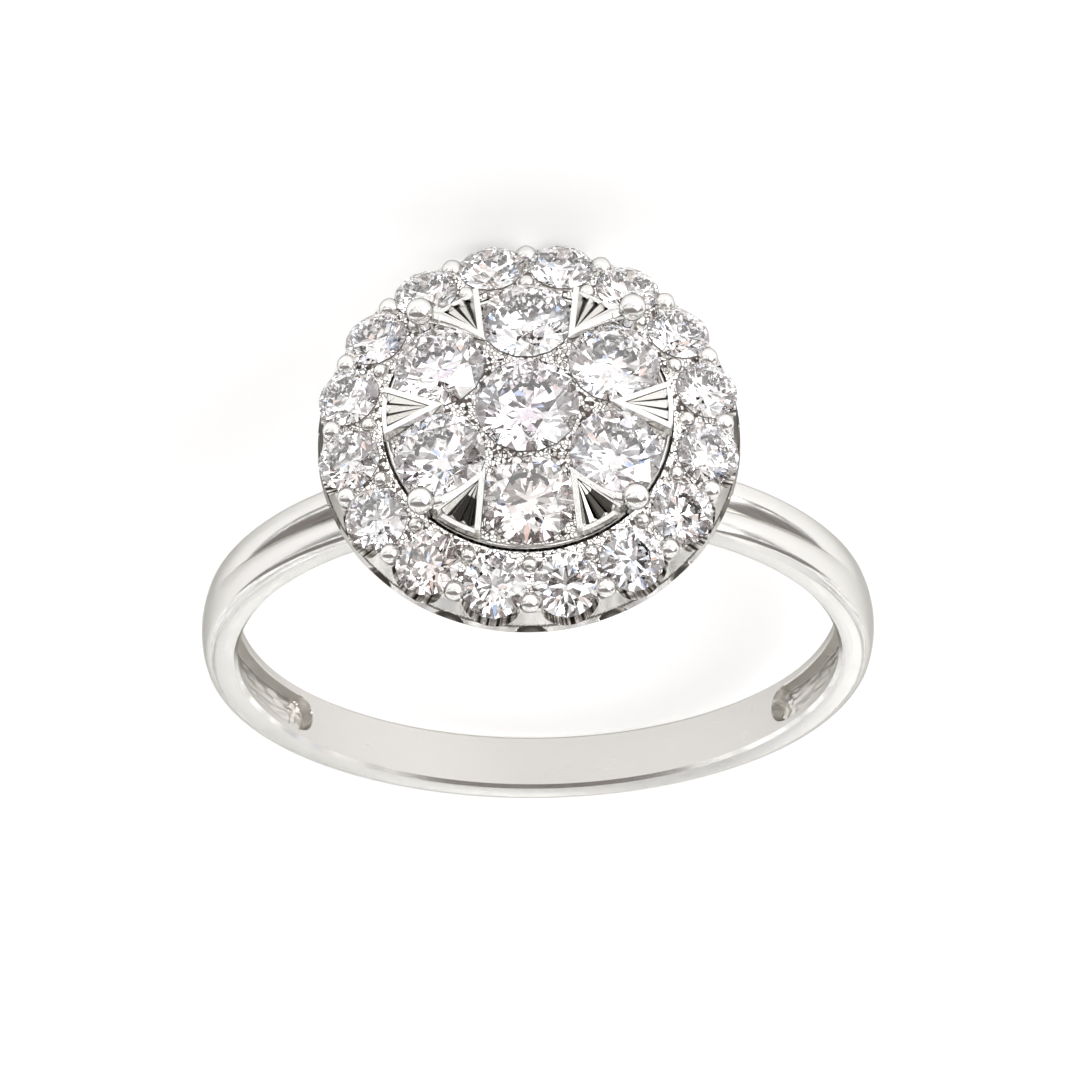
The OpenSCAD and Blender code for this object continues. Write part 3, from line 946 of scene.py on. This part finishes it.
# Studio. A white tent of creased cloth. The gap where the camera looks in is dark and draws the
# dark lens in each bead. The creases break up into sparkle in the stones.
tent = bpy.data.worlds.new("white_tent")
bpy.context.scene.world = tent
studio = Finish(tent)
direction = studio.add("ShaderNodeTexCoord", out="Generated")


def step_between(value, start, end, low=0.0, high=1.0):
    """A soft step of a shader value."""
    return studio.add("ShaderNodeMapRange", {"interpolation_type": "SMOOTHSTEP"}, {
        "Value": value, "From Min": start, "From Max": end, "To Min": low, "To Max": high})


def towards(spot):
    """How far a direction points to a spot in the tent."""
    return studio.add("ShaderNodeVectorMath", {"operation": "DOT_PRODUCT"}, {
        0: direction, 1: Vector(spot).normalized()}, out="Value")


# each strip: the direction across it, where it hangs, its half width and how dark it is
strips = [((0.0, 0.3, 0.95), (-1, 0.1, 0.2), 0.12, 0.6, 0.65),
          ((0.0, 0.3, 0.95), (1, 0.1, 0.2), 0.12, 0.6, 0.65),
          ((0.9, 0.1, 0.3), (-0.3, -0.5, 0.9), 0.05, 0.75, 0.7)]
# the gap lies between two planes, given by the direction across each
gap_colour = (0.13, 0.11, 0.105, 1)
gap_share = 0.9
gap = step_between(towards((0, 0.647, 0.763)), 0.1, 0.2) * step_between(
    towards((-0.016, 1.048, 0.423)), 0.38, 0.48, 1.0, 0.0)
light = 1.0
for across, spot, half, reach, dark in strips:
    side = towards(across)
    band_shade = step_between(side, -half, 0.4 * -half) * step_between(side, 0.4 * half, half, 1.0, 0.0)
    light = light * (1.0 - dark * band_shade * step_between(towards(spot), reach, reach + 0.2))
pane = studio.add("ShaderNodeTexVoronoi", values={"Vector": direction, "Scale": 42.0}, out="Color")
sparkle = studio.add("ShaderNodeValToRGB", {"bands": "CONSTANT", "stops": [
    (0.0, (0.02, 0.018, 0.017, 1)), (0.29, (0.2, 0.19, 0.18, 1)), (0.4, (0.5, 0.49, 0.48, 1)),
    (0.5, (0.8, 0.79, 0.78, 1)), (0.59, (1.05, 1.05, 1.05, 1)), (0.68, (0.5, 0.64, 0.95, 1)),
    (0.7, (0.9, 0.7, 0.62, 1)), (0.72, (2.5, 2.5, 2.5, 1))]}, {"Fac": pane})
cloth = studio.add("ShaderNodeVectorMath", {"operation": "SCALE"}, {0: sparkle, "Scale": light})
studio.feed(studio.tree.nodes["Background"], {
    "Color": studio.add("ShaderNodeMix", {"data_type": "RGBA"}, {
        factor: gap_share * gap, first: cloth, second: gap_colour}, out=mixed),
    "Strength": 1.2})

# Key light. A large soft box on one side. It hangs outside the dark gap, so the beads keep
# their dark lens.
key_data = bpy.data.lights.new("soft_box", "AREA")
key_data.shape = "RECTANGLE"
key_data.size = 0.5
key_data.size_y = 0.5
key_data.energy = 1.6
key = bpy.data.objects.new("soft_box", key_data)
key_spot = Vector((-0.45, -0.35, 0.3))
key.location = key_spot
key.rotation_euler = (-key_spot).to_track_quat("-Z", "Y").to_euler()
bpy.context.scene.collection.objects.link(key)

# Light in the stones. A ray turns many times in a cut stone before it leaves, so it is
# followed for longer than usual.
light_paths = bpy.context.scene.cycles
light_paths.max_bounces = 24
light_paths.glossy_bounces = 16
light_paths.transmission_bounces = 24

# Picture. The picture keeps its plain tones.
bpy.context.scene.view_settings.view_transform = "Standard"
